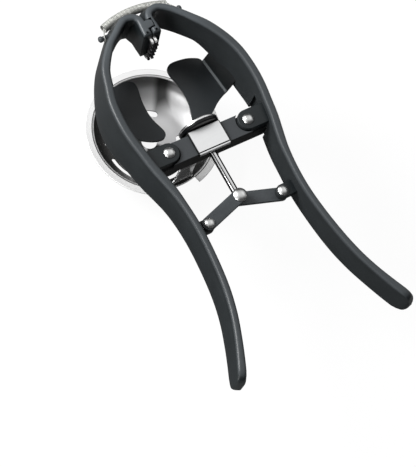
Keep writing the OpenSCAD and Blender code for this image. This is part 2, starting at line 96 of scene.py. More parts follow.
def put_down():
    """Leave edit mode and let go of everything."""
    if bpy.context.object and bpy.context.object.mode != "OBJECT":
        bpy.ops.object.mode_set(mode="OBJECT")
    bpy.ops.object.select_all(action="DESELECT")


def hold(piece):
    """Make one piece the chosen one, in object mode."""
    put_down()
    piece.select_set(True)
    bpy.context.view_layer.objects.active = piece


def take_all():
    bpy.ops.mesh.select_all(action="SELECT")


def let_go():
    bpy.ops.mesh.select_all(action="DESELECT")


def pick_up(piece):
    """Open one piece in edit mode, with no edge selected."""
    hold(piece)
    bpy.ops.object.mode_set(mode="EDIT")
    bpy.ops.mesh.select_mode(type="EDGE")
    let_go()


def name_it(name):
    """Name the chosen piece, and its mesh."""
    piece = bpy.context.object
    piece.name = name
    piece.data.name = name
    return piece


def choose_edges(piece, wanted):
    """Select the edges that wanted() asks for; the piece is in edit mode."""
    mesh = bmesh.from_edit_mesh(piece.data)
    mesh.normal_update()
    for edge in mesh.edges:
        if wanted(edge):
            edge.select_set(True)
    mesh.select_flush_mode()
    bmesh.update_edit_mesh(piece.data)


def middle(edge):
    """The middle of an edge, in millimetres."""
    return (edge.verts[0].co + edge.verts[1].co) / 2 / MM


def corner(edge, least):
    """True on an edge where two faces meet at more than the least angle."""
    return len(edge.link_faces) == 2 and edge.calc_face_angle(0) > math.radians(least)


def draw_line(name, points):
    """A line of edges drawn from place to place; stays in edit mode."""
    put_down()
    bpy.ops.mesh.primitive_plane_add(size=MM)
    piece = name_it(name)
    bpy.ops.object.mode_set(mode="EDIT")
    bpy.ops.mesh.select_mode(type="VERT")
    take_all()
    bpy.ops.mesh.merge(type="CENTER")
    places = [Vector(p) * MM for p in points]
    bpy.ops.transform.translate(value=places[0])
    for before, after in zip(places, places[1:]):
        bpy.ops.mesh.extrude_vertices_move(TRANSFORM_OT_translate={"value": after - before})
    return piece


def tidy_skin():
    """Merge doubles and turn all faces outward; in edit mode."""
    take_all()
    bpy.ops.mesh.remove_doubles(threshold=0.002 * MM)
    bpy.ops.mesh.normals_make_consistent(inside=False)
    let_go()


def cut_plate(name, outline, thick):
    """A plate with a drawn outline, pulled along the vector thick."""
    piece = draw_line(name, outline)
    take_all()
    bpy.ops.mesh.edge_face_add()
    bpy.ops.mesh.extrude_region_move(TRANSFORM_OT_translate={"value": Vector(thick) * MM})
    tidy_skin()
    put_down()
    return piece


def flat_plate(name, plan, z0, z1):
    """A plate with a drawn plan, from one height to another."""
    return cut_plate(name, [(*p, z0) for p in plan], (0, 0, z1 - z0))


def turn_on_lathe(name, outline, centre, axis, steps):
    """A drawn outline turned once round an axis."""
    piece = draw_line(name, outline)
    take_all()
    bpy.ops.mesh.spin(steps=steps, angle=2 * math.pi, center=Vector(centre) * MM, axis=axis)
    tidy_skin()
    put_down()
    return piece


def apply_step(piece, kind, **settings):
    """Put one modifier with its settings on a piece and apply it."""
    hold(piece)
    step = piece.modifiers.new(kind.lower(), kind)
    for label, value in settings.items():
        setattr(step, label, value)
    bpy.ops.object.modifier_apply(modifier=step.name)


def work_with(piece, tool, how):
    """Work on a piece with the shape of a tool, and put the tool away."""
    apply_step(piece, "BOOLEAN", operation=how, solver="EXACT", object=tool)
    bpy.data.objects.remove(tool)


def cut_away(piece, tool):
    work_with(piece, tool, "DIFFERENCE")


def weld_on(piece, tool):
    work_with(piece, tool, "UNION")


def round_edges(piece, width, segments, least, wanted=None):
    """Round edges sharper than the least angle; wanted() can leave some sharp."""
    pick_up(piece)
    choose_edges(piece, lambda e: corner(e, least) and (wanted is None or wanted(e)))
    bpy.ops.mesh.bevel(offset=width * MM, segments=segments, affect="EDGES", clamp_overlap=True)
    tidy_skin()
    put_down()
    return piece


def block(name, low, high):
    """A cube pulled to its two corners."""
    put_down()
    low, high = Vector(low) * MM, Vector(high) * MM
    bpy.ops.mesh.primitive_cube_add(size=1, location=(low + high) / 2)
    piece = name_it(name)
    piece.scale = high - low
    bpy.ops.object.transform_apply()
    return piece


def round_bar(name, r, length, place, turn=(0, 0, 0), sides=48):
    """A round bar about a place, upright unless it is turned."""
    put_down()
    bpy.ops.mesh.primitive_cylinder_add(vertices=sides, radius=r * MM, depth=length * MM,
                                        location=Vector(place) * MM, rotation=turn)
    piece = name_it(name)
    bpy.ops.object.transform_apply()
    return piece


def drill(name, x, y, r, z0=BELOW, z1=ABOVE, sides=48):
    """A round bar upright at x, y, to drill a hole with."""
    return round_bar(name, r, z1 - z0, (x, y, (z0 + z1) / 2), sides=sides)


def rod_way(name, r, y0, y1):
    """A round bar along the rod's axis."""
    return round_bar(name, r, y1 - y0, (0, (y0 + y1) / 2, ROD_Z), turn=(math.pi / 2, 0, 0))


def smooth_skin(piece, angle=32):
    """Shade a piece smooth, but for edges sharper than the angle."""
    hold(piece)
    bpy.ops.object.shade_smooth_by_angle(angle=math.radians(angle))
    return piece


def other_side(piece, name):
    """A copy of a right piece for the left, with its own mesh."""
    hold(piece)
    bpy.ops.object.duplicate(linked=False)
    copy = name_it(name)
    bpy.ops.object.mode_set(mode="EDIT")
    take_all()
    bpy.ops.transform.mirror(constraint_axis=(True, False, False), orient_type="GLOBAL",
                             center_override=(0, 0, 0))
    bpy.ops.mesh.normals_make_consistent(inside=False)
    let_go()
    put_down()
    return copy


def eased(points, n):
    """A smooth line through points, n steps between each two."""
    points = [Vector(p) for p in points]

    def near(i):
        return points[max(0, min(len(points) - 1, i))]

    line = []
    for i in range(len(points) - 1):
        a, b, c, d = near(i - 1), points[i], points[i + 1], near(i + 2)
        for k in range(n):
            u = k / n
            line.append(0.5 * (2 * b + (c - a) * u + (2 * a - 5 * b + 4 * c - d) * u * u
                               + (3 * b - a - 3 * c + d) * u ** 3))
    return line + [points[-1]]


def arc(x, y, r, start, end, n):
    """Points on a flat circle from start to end degrees."""
    turns = [math.radians(start + (end - start) * k / n) for k in range(n + 1)]
    return [(x + r * math.cos(turn), y + r * math.sin(turn)) for turn in turns]


# Finishes: helpers


def clean_tree(owner):
    """Turn on the nodes of a material or world, and empty its tree."""
    owner.use_nodes = True
    owner.node_tree.nodes.clear()
    return owner.node_tree


def new_node(tree, kind):
    return tree.nodes.new("ShaderNode" + kind)


def join(a, b):
    a.id_data.links.new(a, b)


def give(value, socket):
    """Set a number on a socket, or lead another socket to it."""
    if isinstance(value, (int, float)):
        socket.default_value = value
    else:
        join(value, socket)


def noise(vector, scale, detail, rough=0.55):
    node = new_node(vector.id_data, "TexNoise")
    for label, value in (("Vector", vector), ("Scale", scale), ("Detail", detail), ("Roughness", rough)):
        give(value, node.inputs[label])
    return node.outputs["Fac"]


def spread(value, low, high, to_low, to_high, smooth=False):
    """Carry a value from one range over to another, held at both ends."""
    node = new_node(value.id_data, "MapRange")
    if smooth:
        node.interpolation_type = "SMOOTHSTEP"
    labels = ("Value", "From Min", "From Max", "To Min", "To Max")
    for label, number in zip(labels, (value, low, high, to_low, to_high)):
        give(number, node.inputs[label])
    return node.outputs["Result"]


def fade(value, start, full, level=1.0):
    """A soft mask: nothing at start, its level at full."""
    return spread(value, start, full, 0.0, level, smooth=True)


def between(mask, low, high):
    """A value that runs from low to high as the mask runs from 0 to 1."""
    return spread(mask, 0.0, 1.0, low, high)


def maths(how, a, b=0.0):
    node = new_node(a.id_data, "Math")
    node.operation = how
    give(a, node.inputs[0])
    give(b, node.inputs[1])
    return node.outputs[0]


plus = partial(maths, "ADD")
minus = partial(maths, "SUBTRACT")
times = partial(maths, "MULTIPLY")
larger = partial(maths, "MAXIMUM")
size_of = partial(maths, "ABSOLUTE")


def tint(mask, a, b):
    """Mix two colours, each a tuple or a socket, by a mask."""
    node = new_node(mask.id_data, "Mix")
    node.data_type = "RGBA"
    join(mask, node.inputs["Factor"])
    for label, colour in (("A", a), ("B", b)):
        socket = [s for s in node.inputs if s.name == label and s.type == "RGBA"][0]
        if isinstance(colour, tuple):
            socket.default_value = (*colour, 1)
        else:
            join(colour, socket)
    return [s for s in node.outputs if s.type == "RGBA"][0]


def grey(level):
    return (level, level, level)


def parts_of(paint, label):
    """The three parts of a place, or of the normal, on the piece at rest."""
    split = new_node(paint.node_tree, "SeparateXYZ")
    join(new_node(paint.node_tree, "TexCoord").outputs[label], split.inputs["Vector"])
    return split.outputs


# Finishes: shared node groups


def effect(name, inputs, outputs):
    """An empty node group: a vector and named numbers go in, named numbers come out."""
    group = bpy.data.node_groups.new(name, "ShaderNodeTree")
    group.interface.new_socket("Vector", in_out="INPUT", socket_type="NodeSocketVector")
    for label, value in inputs.items():
        socket = group.interface.new_socket(label, in_out="INPUT", socket_type="NodeSocketFloat")
        socket.default_value = value
    for label in outputs:
        group.interface.new_socket(label, in_out="OUTPUT", socket_type="NodeSocketFloat")
    return group, group.nodes.new("NodeGroupInput").outputs, group.nodes.new("NodeGroupOutput").inputs


# Fine skin of a cast or coated surface: a grain for the bump, a cloud and specks for the colour.
cast_skin, given, made = effect("cast_skin", {"Grain Size": 2600.0}, ("Height", "Cloud", "Speck"))
grain = noise(given["Vector"], given["Grain Size"], 2.0)
cloud = noise(given["Vector"], 90.0, 4.0)
speck = noise(given["Vector"], times(given["Grain Size"], 0.4), 1.0)
join(grain, made["Height"])
join(spread(cloud, 0.35, 0.65, 0.0, 1.0), made["Cloud"])
join(spread(speck, 0.62, 0.72, 0.0, 1.0), made["Speck"])

# Drawn or brushed metal: long fine lines along one direction, with a faint haze.
drawn_lines, given, made = effect("drawn_lines", {"Line Size": 3000.0}, ("Height", "Haze"))
lines = noise(given["Vector"], given["Line Size"], 3.0, 0.7)
haze = noise(given["Vector"], 60.0, 2.0)
join(lines, made["Height"])
both = plus(times(lines, 0.5), times(haze, 0.5))
join(both, made["Haze"])

# A soft band between two heights of one coordinate, broken up a little by noise.
soft_band, given, made = effect("soft_band", {"Place": 0.0, "Start": 0.0, "Full": 1.0}, ("Mask",))
broken = noise(given["Vector"], 700.0, 3.0)
wander = spread(broken, 0.0, 1.0, -0.0002, 0.0002)
place = plus(given["Place"], wander)
join(fade(place, given["Start"], given["Full"]), made["Mask"])


def place_effect(paint, group, along=(1, 1, 1), **values):
    """Lay a node group on the object's own coordinates, stretched by along."""
    tree = paint.node_tree
    node = new_node(tree, "Group")
    node.node_tree = group
    stretch = new_node(tree, "Mapping")
    stretch.inputs["Scale"].default_value = along
    join(new_node(tree, "TexCoord").outputs["Object"], stretch.inputs["Vector"])
    join(stretch.outputs["Vector"], node.inputs["Vector"])
    for label, value in values.items():
        give(value, node.inputs[label.replace("_", " ")])
    return node.outputs


def band_mask(paint, place, start, full):
    """The mask of a soft band: nothing at start, all at full."""
    return place_effect(paint, soft_band, Place=place, Start=start, Full=full)["Mask"]


def roughen(shader, height, strength, distance):
    bump = new_node(height.id_data, "Bump")
    bump.inputs["Strength"].default_value = strength
    bump.inputs["Distance"].default_value = distance
    join(height, bump.inputs["Height"])
    join(bump.outputs["Normal"], shader["Normal"])


# Finishes: the materials


def finish_base(name):
    """A new material, the inputs of its shader and the three parts of its coordinates."""
    paint = bpy.data.materials.new(name)
    tree = clean_tree(paint)
    shader = new_node(tree, "BsdfPrincipled")
    join(shader.outputs["BSDF"], new_node(tree, "OutputMaterial").inputs["Surface"])
    return paint, shader.inputs, parts_of(paint, "Object")


def coat_base(name, grain_size, specular):
    """The base of a coated finish, with its skin."""
    paint, shader, axes = finish_base(name)
    shader["Specular IOR Level"].default_value = specular
    return paint, shader, axes, place_effect(paint, cast_skin, Grain_Size=grain_size)


def metal_base(name, line_size, along=(1, 1, 1)):
    """The base of a bare metal, with its lines; along gives their stretch."""
    paint, shader, axes = finish_base(name)
    shader["Metallic"].default_value = 1.0
    return paint, shader, axes, place_effect(paint, drawn_lines, along, Line_Size=line_size)


def dress(shader, colour, rough):
    """Lead a colour and a roughness to a shader."""
    join(colour, shader["Base Color"])
    join(rough, shader["Roughness"])


def hazed(metal, rough):
    """A roughness that follows the haze of drawn metal."""
    return spread(metal["Haze"], 0.3, 0.7, *rough)


LINE_DEPTH, GRAIN_DEPTH, SHEET_GRAIN_DEPTH = 0.00005, 0.00012, 0.0001
SPECK_SHARE, SPECK_TONE = 0.12, 2.2
FRONT_HIGHLIGHT_START, FRONT_HIGHLIGHT_FULL = 0.046, 0.072
SHEET_LINES, SHEET_ALONG = 3200.0, (0.05, 1, 1)


def coated(name, deep, pale, rough, specular, top_highlight=None, top_highlight_z=None, front_highlight=None, inner=None):
    """Dark coated metal, cloudy from deep to pale, with a paler tone along its top edge that is a painted
    highlight.

    The painted highlight starts and is full at the two given heights, and towards the jaws it is
    painted paler still. inner is the roughness of the faces that look to the tool's middle, left as cast.
    """
    paint, shader, axes, skin = coat_base(name, 2600.0, specular)
    colour = tint(skin["Cloud"], deep, pale)
    # Painted highlight: the top edge is painted paler, and paler still towards the jaws, where light
    # catches it.
    if front_highlight:
        top_highlight = tint(band_mask(paint, axes["Y"], FRONT_HIGHLIGHT_START, FRONT_HIGHLIGHT_FULL), top_highlight, front_highlight)
    if top_highlight:
        colour = tint(band_mask(paint, axes["Z"], *top_highlight_z), colour, top_highlight)
    flecks = tuple(SPECK_TONE * c for c in pale)
    colour = tint(times(skin["Speck"], SPECK_SHARE), colour, flecks)
    matt = between(skin["Cloud"], *rough)
    if inner:
        outward = times(maths("SIGN", axes["X"]), parts_of(paint, "Normal")["X"])
        matt = between(fade(outward, -0.4, -0.8), matt, inner)
    dress(shader, colour, matt)
    roughen(shader, skin["Height"], 0.25, GRAIN_DEPTH)
    return paint


def bright(name, deep, pale, rough, line_size=2200.0, along=(1, 1, 1)):
    """Bare bright metal with fine lines."""
    paint, shader, _, metal = metal_base(name, line_size, along)
    dress(shader, tint(metal["Haze"], deep, pale), hazed(metal, rough))
    roughen(shader, metal["Height"], 0.05, LINE_DEPTH)
    return paint


def part_bare(name, deep, pale, steel, rough, specular, grain_size, axis, start, full, front_bare=False):
    """A glossy dark coat that ends at a line across one axis; the steel past it is bare.

    front_bare leaves the coat off the faces that look to the jaws as well.
    """
    paint, shader, axes, skin = coat_base(name, grain_size, specular)
    bare = band_mask(paint, axes[axis], start, full)
    if front_bare:
        bare = larger(bare, fade(parts_of(paint, "Normal")["Y"], 0.2, 0.5))
    coat = tint(skin["Cloud"], deep, pale)
    dress(shader, tint(bare, coat, grey(steel)), between(skin["Cloud"], *rough))
    join(bare, shader["Metallic"])
    return paint


def wing_finish(name):
    """Black sheet with a painted sheen towards the bar, a painted highlight along its bend and painted
    shade on its skirt.
    """
    bend_in, highlight_half, skirt_shade_soft = 0.3, 0.00045, 0.0008
    sheen_start, sheen_full = 0.050, 0.024
    paint, shader, axes, skin = coat_base(name, 2200.0, 0.3)
    slope = (WING_BACK[0] - WING_FRONT[0]) / (WING_BACK[1] - WING_FRONT[1])
    foot = (WING_FRONT[0] - bend_in - slope * WING_FRONT[1]) * MM
    bend = plus(times(axes["Y"], slope), foot)
    past = minus(size_of(axes["X"]), bend)
    colour = tint(skin["Cloud"], (0.0102, 0.0120, 0.0134), (0.0142, 0.0161, 0.0180))
    # Painted sheen: paler towards the bar.
    colour = tint(fade(axes["Y"], sheen_start, sheen_full), colour, (0.0190, 0.0225, 0.0250))
    # Painted shade: the skirt darker.
    colour = tint(fade(past, 0.0, skirt_shade_soft), colour, (0.0040, 0.0050, 0.0054))
    # Painted highlight: a pale line along the bend.
    line = fade(size_of(past), highlight_half, 0.4 * highlight_half)
    dress(shader, tint(line, colour, (0.11, 0.12, 0.125)), between(skin["Cloud"], 0.38, 0.5))
    roughen(shader, skin["Height"], 0.2, SHEET_GRAIN_DEPTH)
    return paint


def dish_finish(name):
    """Turned steel: dark wedges, a streak and a darkening to the wall inside as painted reflection and
    shade; a painted highlight on the bead, painted shade at the inner edge of the flange, and a paler
    satin flange outside.
    """
    deep_r, lip_r, bead_start, bead_full = 0.0220, 0.0330, 0.0336, 0.0339
    rim_start, rim_full, flange_edge_soft = 0.0344, 0.0349, 0.0002
    streak_x, streak_y, streak_off = 0.924, -0.382, 0.0093
    streak_core, streak_edge, streak_start, streak_full = 0.0015, 0.0062, 0.0080, 0.0230
    paint, shader, axes, metal = metal_base(name, 2200.0)
    aside = minus(axes["Y"], SEP_Y * MM)
    square = plus(times(axes["X"], axes["X"]), times(aside, aside))
    away = maths("POWER", square, 0.5)

    def reach(way_x, way_y):
        """How far out from the middle of the dish, along one way."""
        return plus(times(axes["X"], way_x), times(aside, way_y))

    def reflected_wedge(degrees, half, core, level):
        """What a dark wedge of painted reflection towards one side of the dish leaves, soft at both edges.
        """
        turn = math.radians(degrees)
        towards = maths("DIVIDE", reach(math.cos(turn), math.sin(turn)), away)
        edge, full = math.cos(math.radians(half)), math.cos(math.radians(core))
        return spread(towards, edge, full, 1.0, 1.0 - level, smooth=True)

    # Painted reflection and shade inside: darker towards the wall, a dark streak and two dark wedges.
    wall_shade = spread(away, lip_r, deep_r, 0.28, 1.0)
    off_streak = size_of(minus(reach(streak_x, streak_y), streak_off))
    reflected_streak = spread(off_streak, streak_core, streak_edge, 0.12, 1.0, smooth=True)
    reflected_streak = larger(reflected_streak, fade(aside, streak_full, streak_start))
    reflected_wedges = times(reflected_wedge(163, 60, 24, 0.92), reflected_wedge(-88, 54, 32, 0.97))
    shade = times(times(wall_shade, reflected_streak), reflected_wedges)
    steel = tint(metal["Haze"], (0.66, 0.66, 0.67), grey(0.80))
    colour = tint(shade, (0.02, 0.02, 0.019), steel)
    # Painted highlight: a white line on the bead.
    colour = tint(fade(away, bead_start, bead_full), colour, grey(0.88))
    flange = fade(away, rim_start, rim_full)
    colour = tint(flange, colour, grey(0.72))
    # Painted shade: a dark ring at the inner edge of the flange.
    flange_edge_shade = times(fade(away, rim_start, rim_start + flange_edge_soft),
                 fade(away, rim_full + flange_edge_soft, rim_full))
    dress(shader, tint(flange_edge_shade, colour, grey(0.06)), between(flange, 0.42, 0.5))
    join(between(flange, 1.0, 0.5), shader["Metallic"])
    roughen(shader, metal["Height"], 0.04, LINE_DEPTH)
    return paint


def rod_finish(name):
    """Drawn steel rod with a painted reflection: a dark line along its face and darker flanks."""
    radius, turn = ROD_R * MM, math.radians(21)
    paint, shader, axes, metal = metal_base(name, 2600.0)
    rise = minus(axes["Z"], ROD_Z * MM)
    across = plus(times(axes["X"], math.cos(turn)), times(rise, math.sin(turn)))
    # Painted reflection: a dark line and dark flanks at fixed turns about the rod's axis.
    off_line = size_of(plus(across, 0.08 * radius))
    line = fade(off_line, 0.22 * radius, 0.09 * radius)
    flank = fade(size_of(across), 0.5 * radius, 0.66 * radius)
    dark = larger(line, flank)
    steel = tint(metal["Haze"], (0.62, 0.63, 0.64), grey(0.80))
    rough = larger(hazed(metal, (0.14, 0.22)), times(dark, 0.6))
    dress(shader, tint(dark, steel, grey(0.012)), rough)
    return paint


def saddle_finish(name):
    """Bright sheet with painted shade along its side edges and in the groove along its lip, and fine lines
    across.
    """
    edge, edge_shade_start, edge_shade_full = SADDLE_HALF * MM, 0.0006, 0.0004
    groove_start, groove_full = 0.00042, 0.0003
    paint, shader, axes, metal = metal_base(name, SHEET_LINES, SHEET_ALONG)
    # Painted shade: dark along the side edges and in the groove along the lip.
    edge_shade = spread(size_of(axes["X"]), edge - edge_shade_start, edge - edge_shade_full, 0.0, 1.0)
    off_groove = size_of(minus(axes["Y"], LIP_GROOVE_Y * MM))
    dark = larger(edge_shade, spread(off_groove, groove_start, groove_full, 0.0, 1.0))
    steel = tint(metal["Haze"], (0.72, 0.73, 0.74), grey(0.86))
    dress(shader, tint(dark, steel, grey(0.03)), hazed(metal, (0.40, 0.52)))
    roughen(shader, metal["Height"], 0.05, LINE_DEPTH)
    return paint


# One casting in lit and shaded tones: near-black sides as painted shade, a paler top as painted light from
# above.
bar_light_and_shade = coated(
    "bar_casting", (0.0038, 0.0043, 0.0047), (0.0056, 0.0063, 0.0068), rough=(0.36, 0.46), specular=0.25,
    top_highlight=(0.038, 0.0415, 0.045), top_highlight_z=(0.0108, 0.0116))
# The disc's back is painted black, a painted reflection of the dark that its bare steel mirrors; its front
# faces and the front of its rim are bare steel.
pusher_dark_back = part_bare(
    "pusher_dark_back", (0.004, 0.004, 0.0045), (0.006, 0.006, 0.00675), steel=0.88, rough=(0.22, 0.3),
    specular=0.2, grain_size=2600.0, axis="Y", start=0.0088, full=0.0091, front_bare=True)
satin = bright("satin_steel", (0.58, 0.59, 0.59), (0.70, 0.70, 0.69), rough=(0.26, 0.34), line_size=1600.0)
saddle_sheet = saddle_finish("saddle_sheet")
dish_steel = dish_finish("dish_steel")

FINISH_OF_SLOT = {
    # The arms' top edges carry a painted highlight, paler towards the jaws.
    "slate_casting": coated(
        "slate_casting", (0.0066, 0.0090, 0.0102), (0.0090, 0.0117, 0.0132), rough=(0.34, 0.42),
        specular=0.32, top_highlight=(0.0330, 0.0380, 0.0415), top_highlight_z=(0.0160, 0.0176), front_highlight=(0.056, 0.064, 0.070),
        inner=0.85),
    "black_casting": coated(
        "black_casting", (0.036, 0.0405, 0.044), (0.045, 0.050, 0.054), rough=(0.36, 0.46), specular=0.25),
    "black_sheet": wing_finish("black_sheet"),
    "dark_blade": part_bare(
        "dark_blade", (0.006, 0.006, 0.0065), (0.010, 0.010, 0.011), steel=0.9, rough=(0.18, 0.26),
        specular=0.6, grain_size=3000.0, axis="Z", start=0.0128, full=0.0132),
    "polished_steel": rod_finish("polished_steel"),
    "bright_sheet": bright(
        "bright_sheet", (0.70, 0.71, 0.72), grey(0.84), rough=(0.16, 0.3), line_size=SHEET_LINES,
        along=SHEET_ALONG),
    "spring_wire": bright("spring_wire", (0.38, 0.39, 0.37), (0.50, 0.50, 0.475), rough=(0.58, 0.70)),
}


def finish(piece, slot, body, *nodes, paint=None):
    """Give a piece its finish, put it on its body and let it stand for its CAD nodes."""
    piece.data.materials.clear()
    piece.data.materials.append(paint or FINISH_OF_SLOT[slot])
    if body:
        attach(piece, body)
    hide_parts(*nodes)


def finish_pair(piece, word, slot, node):
    """Finish a right piece, and its copy for the left."""
    copy = other_side(piece, "left_" + word)
    finish(piece, slot, "right_lever", "right_" + node)
    finish(copy, slot, "left_lever", "left_" + node)


# Arms

ARM_TOP, LUG_LOW = 18.0, 7.9
LOOP_W, LOOP_LEN = 42.3, 78.4
WAIST_W, TIP_W, HANDLE = 33.5, 54.6, 123.5
NOSE_GAP, NOSE_FACE, NOSE_SIDE = 0.3, 1, 6
NOSE_Y, NOSE_FRONT, NOSE_LEAN, NOSE_LOW = 60.5, 66, 2.4, -3.2
ROUND_LIP, ROUND_UNDER, ROUND_NOSE = 1.9, 0.9, 0.45
END_EXTRA, END_ROUND, END_TOP, END_BELOW, END_Z = 1.2, 2.6, 7.6, 9.0, 8.0
END_WALL, MOST_WALL, GRIP_Y = 4.8, 8, (-45, -85)
BLADE_SLOT = (-1, 59.5, BELOW), (1.88, 66.53, 13.53)
TAB_SEAT, TAB_LOW, TAB_HIGH = ((-1, 65.9, 14.4), (3.3, 71.5, ABOVE)), 14.8, 17.95

# Outside line of the right arm from nose to handle end, with the wall's thickness. Loop, neck and
# grip are typed as shares of their sizes.
nose_line = [
    (NOSE_GAP, NOSE_Y, 5), (NOSE_GAP, 66.0, 5), (NOSE_GAP, 70.5, 4.7), (1.1, 74.2, 4.3), (3.4, 76.9, 4),
    (6.7, 78.2, 4)]
loop_line = [
    (0.255, 0.998, 4), (0.388, 0.957, 4), (0.508, 0.894, 4), (0.624, 0.825, 4.5), (0.738, 0.753, 5),
    (0.835, 0.667, 5), (0.918, 0.569, 5), (0.973, 0.466, 5), (0.996, 0.357, 5), (1, 0.253, 5),
    (0.986, 0.152, 5), (0.959, 0.055, 5)]
neck_line = [
    (0.648, -4.8, 5), (0.364, -15.6, 5), (0.19, -22.5, 4.6), (0.08, -29.5, 4.2), (0.018, -36.8, 4.2)]
grip_line = [
    (0, 0.358, 4.2), (0.014, 0.418, 4.2), (0.051, 0.481, 4.2), (0.101, 0.544, 4.2), (0.165, 0.609, 4.2),
    (0.245, 0.674, 4.2), (0.35, 0.742, 4.2), (0.489, 0.811, 4.2), (0.67, 0.884, 4.5), (0.865, 0.955, 4.8),
    (1, 1, END_WALL)]
arm_line = eased(nose_line + [(x * LOOP_W, y * LOOP_LEN, t) for x, y, t in loop_line]
                 + [(WAIST_W + x * (LOOP_W - WAIST_W), y, t) for x, y, t in neck_line]
                 + [(WAIST_W + x * (TIP_W - WAIST_W), -y * HANDLE, t) for x, y, t in grip_line], 3)

# The handle's end runs on a little, in close steps, to be drawn in to a full round.
grip_way = (arm_line[-1] - arm_line[-2]).xy.normalized()
grip_tip = arm_line[-1].xy + grip_way * END_EXTRA
grip_aside = Vector((grip_way.y, -grip_way.x))
grip_mid = grip_tip + grip_aside * arm_line[-1].z / 2
arm_line.pop()
for degrees in range(0, 91, 15):
    close = grip_tip - grip_way * END_ROUND * (1 - math.sin(math.radians(degrees)))
    arm_line.append(Vector((*close, END_WALL)))

# Side view of the arm's underside, front to back.
underside = eased([
    (90, -5), (78, -5), (72, -4.4), (66, -3.2), (61, -2.4), (56, -3.8), (50, -6.2), (42, -8.6),
    (34, -10.4), (28, -11), (21, -9.9), (15.5, -8.3), (10, -6.8), (4, -6), (-8, -4.4), (-20, -2.8),
    (-36, -1.8), (-70, -0.8), (-100, 0), (-130, 0.6)], 3)

# How far the outer face swells out along the arm, front to back.
swell_line = [
    (90, 3.0), (78, 3.0), (74, 2.4), (68, 2.4), (60, 2.4), (50, 2.0), (30, 1.8), (-100, 1.8), (-118, 1.0),
    (-130, 0.4)]
# Height and swell of each row of the wall, both as shares.
WALL_ROWS = [(0.0, 0.8), (0.3, 1.0), (0.6, 0.75), (0.8, 0.3), (0.88, 0.0), (1.0, 0.0)]


def height_at(line, y):
    """Height of a side-view line at y; the line runs front to back."""
    for a, b in zip(line, line[1:]):
        if b[0] <= y <= a[0]:
            return a[1] + (b[1] - a[1]) * (a[0] - y) / (a[0] - b[0])
    return line[-1][1]


def heading(i):
    """Which way the outside line runs at station i."""
    a, b = arm_line[max(0, i - 1)], arm_line[min(len(arm_line) - 1, i + 1)]
    return (b - a).xy.normalized()


def off_wall(i, depth):
    """A place on the plan, depth inward from the outside line."""
    h = heading(i)
    return (arm_line[i].x + h.y * depth, arm_line[i].y - h.x * depth)


def ease(value, start, end):
    """A soft share: 0 up to start, 1 from end on."""
    share = max(0.0, min(1.0, (value - start) / (end - start)))
    return share * share * (3 - 2 * share)


def swell_at(p):
    """Full swell at a place on the outside line; the front corner of the nose is fuller low down."""
    if p.x > NOSE_SIDE:
        return height_at(swell_line, p.y)
    return max(0.0, min(3.0, (p.y - 70) * 0.6))


def set_out_at(p, shoulder):
    """Set-out of the shoulder: full from 56 to 66 mm, none behind 44 or in front of 74 mm."""
    if p.x > NOSE_SIDE:
        return shoulder * ease(p.y, 44, 56) * ease(p.y, 74, 66)
    return 0.0


def thicker_at(p, swell, shoulder):
    """How much the swell adds to the wall's thickness in one row."""
    return swell * (swell_at(p) - set_out_at(p, shoulder))


def wall_place(i, share, swell, shoulder):
    """A place on the outer face: station i along the arm, at a share of the wall's height."""
    p, h = arm_line[i], heading(i)
    low = height_at(underside, p.y)
    z = low + (ARM_TOP - low) * share
    out = set_out_at(p, shoulder) + thicker_at(p, swell, shoulder)
    x, y = max(NOSE_GAP, p.x - h.y * out), p.y + h.x * out
    if p.x < NOSE_FACE and y < NOSE_FRONT:
        lean = NOSE_Y + NOSE_LEAN * (z - NOSE_LOW) / (ARM_TOP - NOSE_LOW)
        y = lean + (y - NOSE_Y) * (NOSE_FRONT - lean) / (NOSE_FRONT - NOSE_Y)
    return (x, y, z)


def arm_skin(name, shoulder):
    """Outer face of the right wall: rows drawn along it and bridged, with its thickness as a weight."""
    stations = range(len(arm_line))
    rows = []
    for k, (share, swell) in enumerate(WALL_ROWS):
        row = draw_line("%s_row%d" % (name, k), [wall_place(i, share, swell, shoulder) for i in stations])
        put_down()
        row.vertex_groups.new(name="row%d" % k).add(list(stations), 1, "REPLACE")
        wall = row.vertex_groups.new(name="wall")
        for i, p in enumerate(arm_line):
            wall.add([i], (p.z + thicker_at(p, swell, shoulder)) / MOST_WALL, "REPLACE")
        rows.append(row)
    hold(rows[0])
    for row in rows:
        row.select_set(True)
    bpy.ops.object.join()
    piece = name_it(name)
    for k in range(len(WALL_ROWS) - 1):
        pick_up(piece)
        for j in (k, k + 1):
            bpy.ops.object.vertex_group_set_active(group="row%d" % j)
            bpy.ops.object.vertex_group_select()
        bpy.ops.mesh.bridge_edge_loops()
    tidy_skin()
    put_down()
    return piece


def thicken_inward(piece):
    """Give the skin its thickness, on the side of the tool's middle."""
    face = piece.data.polygons[len(piece.data.polygons) // 2]
    at = face.center.xy / MM
    i = min(range(len(arm_line)), key=lambda k: (arm_line[k].xy - at).length)
    inward = Vector((heading(i).y, -heading(i).x, 0))
    way = 1 if face.normal.dot(inward) > 0 else -1
    apply_step(piece, "SOLIDIFY", thickness=MOST_WALL * MM, offset=way, vertex_group="wall")
    piece.vertex_groups.clear()


def roundness(edge):
    """How far a sharp edge of the arm is rounded: the lip most, then the underside, then the nose."""
    place = middle(edge)
    if (grip_tip - place.xy).dot(grip_way) < 0.01:
        return 0.0
    up = [face.normal.z for face in edge.link_faces]
    if max(up) > 0.6:
        return ROUND_LIP
    if min(up) < -0.5:
        return ROUND_UNDER
    return ROUND_NOSE if place.y > 59 and place.x < NOSE_SIDE else 0.0


